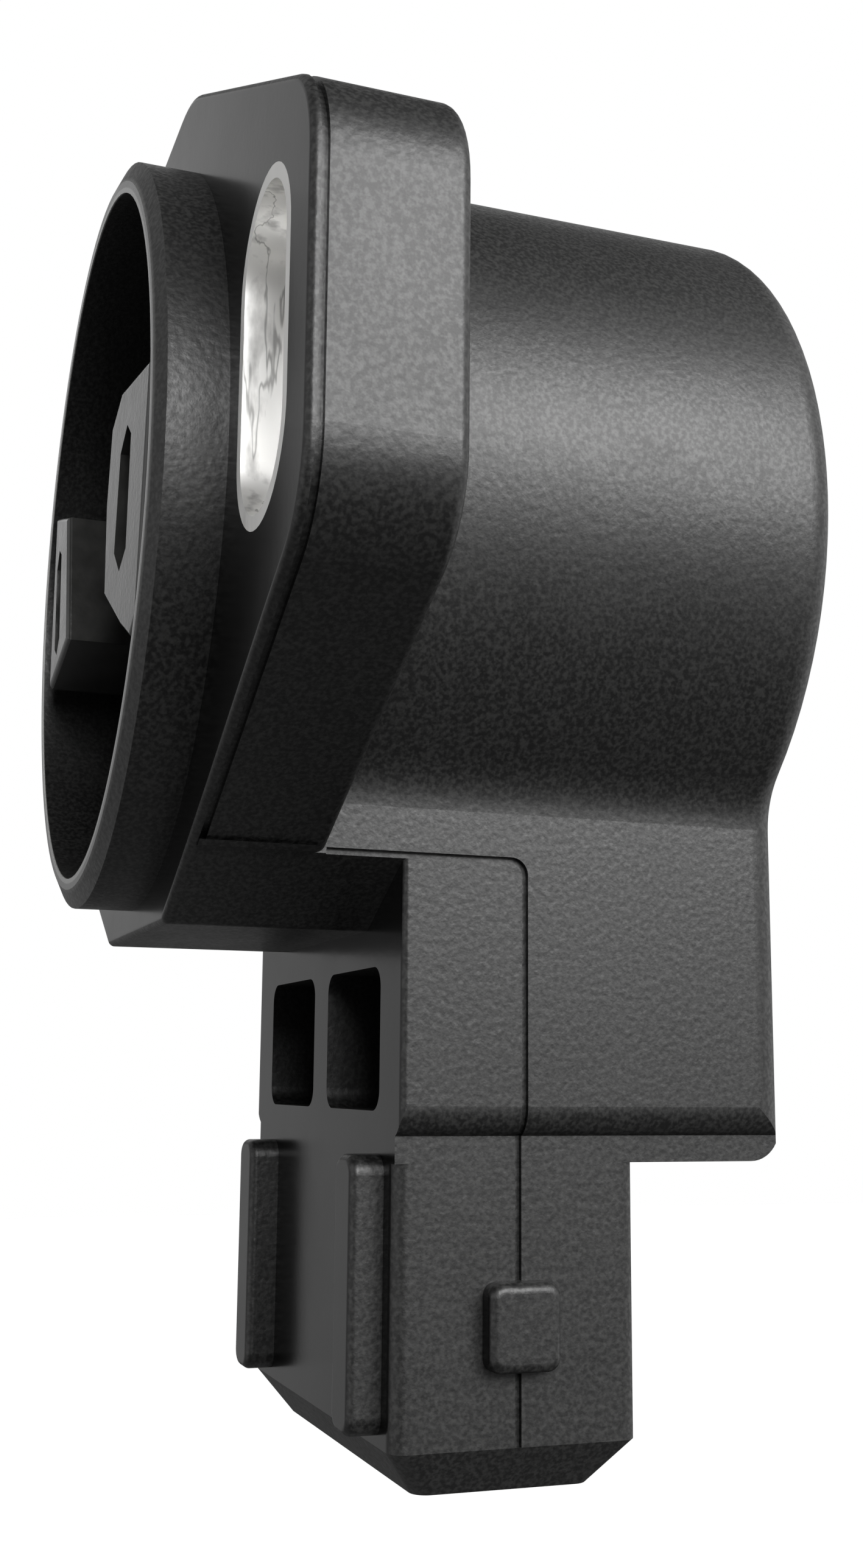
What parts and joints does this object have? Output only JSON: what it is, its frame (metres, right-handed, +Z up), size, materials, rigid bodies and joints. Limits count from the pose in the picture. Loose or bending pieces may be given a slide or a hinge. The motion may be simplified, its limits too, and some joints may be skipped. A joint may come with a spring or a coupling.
{
  "type": "throttle position sensor",
  "caption": "Rotary throttle position sensor: lozenge flange with a pilot collar and metal-lined screw slots, drum behind, downward blade socket, and a rotor turned by the throttle shaft.",
  "frame": {"origin": "on the rotor axis, in the plane of the flange's front mounting face", "axes": "Y runs along the rotor axis from the collar into the drum, Z is up with the socket pointing down, X runs along the line of the screw slots"},
  "size_m": [0.056, 0.0294, 0.0602],
  "materials": {
    "black_plastic": "fine-grained black moulding",
    "insert_steel": "plated, scratched",
    "terminal_brass": "tinned",
    "solder": "dull bright",
    "rotor_plastic": "natural light grey",
    "spring_steel": "plain",
    "board": "laminate",
    "carbon_ink": "printed"
  },
  "bodies": {
    "housing": {"housing": "black_plastic", "slot_insert_near": "insert_steel", "slot_insert_far": "insert_steel", "terminal_supply": "terminal_brass", "terminal_signal": "terminal_brass", "terminal_ground": "terminal_brass", "solder_supply": "solder", "solder_signal": "solder", "solder_ground": "solder", "track_board": "board", "resistance_track": "carbon_ink", "collector_track": "carbon_ink", "rear_cover": "black_plastic"},
    "rotor": {"rotor": "rotor_plastic", "retaining_ring": "spring_steel", "wiper_carrier": "rotor_plastic", "wiper": "spring_steel"}
  },
  "joints": [
    {"name": "rotor_turn", "type": "hinge", "parent": "housing", "child": "rotor", "pos_m": [0, 0, 0], "axis": [0, 1, 0], "range_deg": [0, 95]}
  ]
}
